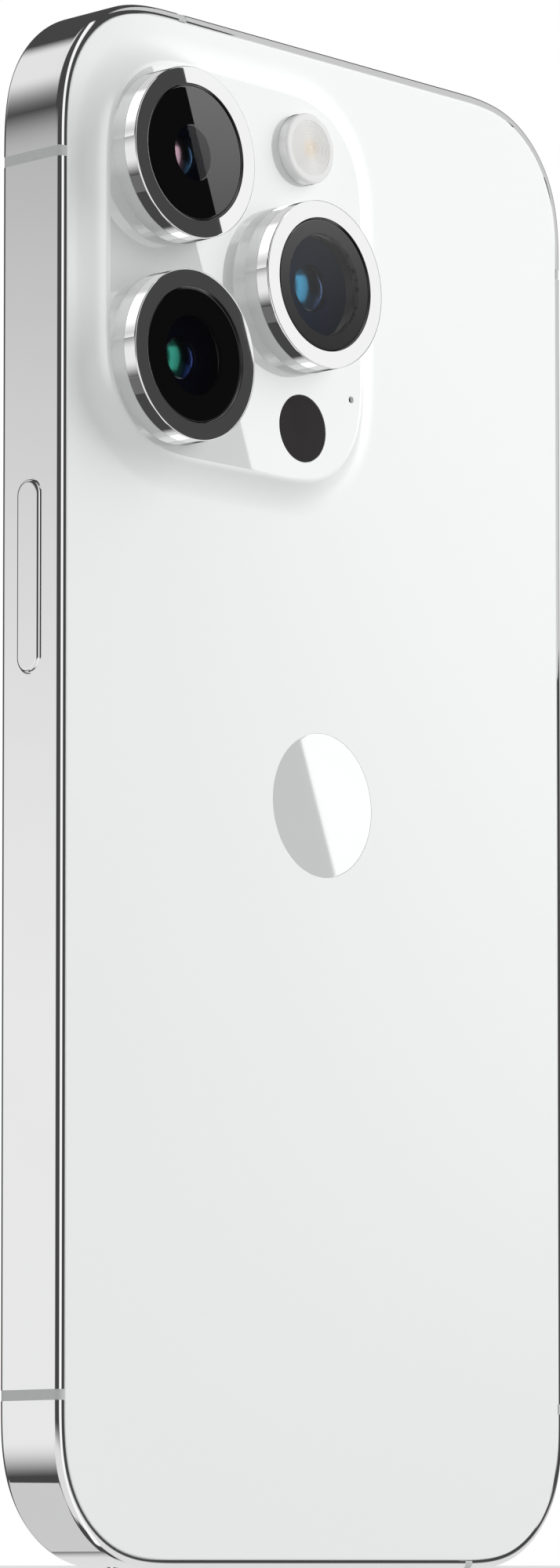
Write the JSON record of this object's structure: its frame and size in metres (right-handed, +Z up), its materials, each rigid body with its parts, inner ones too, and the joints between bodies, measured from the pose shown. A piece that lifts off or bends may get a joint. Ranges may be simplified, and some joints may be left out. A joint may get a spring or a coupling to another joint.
{
  "type": "smartphone",
  "caption": "Slim upright smartphone with a polished steel band, white glass back, raised plateau with ringed lenses, flash and depth window, side keys, mute switch and card tray.",
  "frame": {"origin": "centre of the charging port's mouth, which is the middle of the bottom edge at mid-thickness", "axes": "+Z up along the long side from the bottom edge to the top edge, +Y out of the back glass through the rear cameras, +X towards the edge with the long side button"},
  "size_m": [0.0722, 0.012, 0.1475],
  "materials": {
    "polished_steel": "polished stainless steel",
    "plain_steel": "plain",
    "dense_metal": "plain",
    "break_plastic": "satin, light grey",
    "chassis_aluminium": "matte",
    "white_glass": "gloss white, as painted glass",
    "emblem_metal": "mirror",
    "cover_glass": "clear, polished",
    "black_coat": "gloss black",
    "barrel_black": "satin black",
    "flash_clear": "frosted with fine rings",
    "circuit": "satin",
    "flex_film": "satin",
    "screen_glass": "gloss black",
    "mesh_black": "fine black mesh",
    "seal_rubber": "matte",
    "module_black": "matte",
    "battery_wrap": "satin",
    "copper": "bare copper",
    "contact_gold": "gold plated"
  },
  "bodies": {
    "chassis": {"frame_band": "polished_steel", "antenna_breaks": "break_plastic", "mid_plate": "chassis_aluminium", "back_glass": "white_glass", "emblem": "emblem_metal", "lens_ring_upper": "polished_steel", "lens_ring_lower": "polished_steel", "lens_ring_middle": "polished_steel", "lens_cover_upper": "cover_glass", "lens_cover_lower": "cover_glass", "lens_cover_middle": "cover_glass", "lens_bezel_upper": "black_coat", "lens_bezel_lower": "black_coat", "lens_bezel_middle": "black_coat", "camera_housing_upper": "plain_steel", "camera_housing_lower": "plain_steel", "camera_housing_middle": "plain_steel", "camera_bracket": "plain_steel", "flash_lens": "flash_clear", "flash_board": "circuit", "depth_window": "black_coat", "depth_sensor": "module_black", "rear_microphone_mesh": "mesh_black", "front_glass": "screen_glass", "display_panel": "circuit", "display_frame": "chassis_aluminium", "display_gasket": "seal_rubber", "display_cable": "flex_film", "earpiece_mesh": "mesh_black", "earpiece_speaker": "module_black", "front_camera": "module_black", "face_sensor": "module_black", "side_button_switch": "flex_film", "volume_switches": "flex_film", "mute_switch_base": "module_black", "sim_reader": "plain_steel", "port_shell": "plain_steel", "port_contacts": "contact_gold", "bottom_speaker": "module_black", "bottom_microphones": "module_black", "bottom_screws": "polished_steel", "battery": "battery_wrap", "logic_board": "circuit", "board_shields": "plain_steel", "board_screws": "plain_steel", "haptic_case": "plain_steel", "charging_coil": "copper", "magnet_ring": "dense_metal"},
    "side_button": {"side_button": "polished_steel"},
    "volume_up_button": {"volume_up_button": "polished_steel"},
    "volume_down_button": {"volume_down_button": "polished_steel"},
    "mute_lever": {"mute_lever": "polished_steel"},
    "sim_tray": {"sim_tray": "polished_steel", "sim_tray_seal": "seal_rubber", "sim_card": "contact_gold"},
    "haptic_mass": {"haptic_mass": "dense_metal"},
    "lens_barrel_upper": {"lens_barrel_upper": "barrel_black"},
    "lens_barrel_lower": {"lens_barrel_lower": "barrel_black"},
    "lens_barrel_middle": {"lens_barrel_middle": "barrel_black"}
  },
  "joints": [
    {"name": "side_button_press", "type": "slide", "parent": "chassis", "child": "side_button", "axis": [-1, 0, 0], "range_m": [0, 0.00025], "stiffness_N_per_m": 6000, "springref_m": -0.00015},
    {"name": "volume_up_press", "type": "slide", "parent": "chassis", "child": "volume_up_button", "axis": [1, 0, 0], "range_m": [0, 0.00025], "stiffness_N_per_m": 6000, "springref_m": -0.00015},
    {"name": "volume_down_press", "type": "slide", "parent": "chassis", "child": "volume_down_button", "axis": [1, 0, 0], "range_m": [0, 0.00025], "stiffness_N_per_m": 6000, "springref_m": -0.00015},
    {"name": "mute_switch_slide", "type": "slide", "parent": "chassis", "child": "mute_lever", "axis": [0, 1, 0], "range_m": [0, 0.0011]},
    {"name": "sim_tray_slide", "type": "slide", "parent": "chassis", "child": "sim_tray", "axis": [-1, 0, 0], "range_m": [0, 0.02]},
    {"name": "haptic_mass_slide", "type": "slide", "parent": "chassis", "child": "haptic_mass", "axis": [1, 0, 0], "range_m": [-0.0006, 0.0006], "stiffness_N_per_m": 2000},
    {"name": "lens_focus_upper", "type": "slide", "parent": "chassis", "child": "lens_barrel_upper", "axis": [0, 1, 0], "range_m": [0, 0.0003], "stiffness_N_per_m": 300, "springref_m": -0.0001},
    {"name": "lens_focus_lower", "type": "slide", "parent": "chassis", "child": "lens_barrel_lower", "axis": [0, 1, 0], "range_m": [0, 0.0003], "stiffness_N_per_m": 300, "springref_m": -0.0001},
    {"name": "lens_focus_middle", "type": "slide", "parent": "chassis", "child": "lens_barrel_middle", "axis": [0, 1, 0], "range_m": [0, 0.0003], "stiffness_N_per_m": 300, "springref_m": -0.0001}
  ]
}
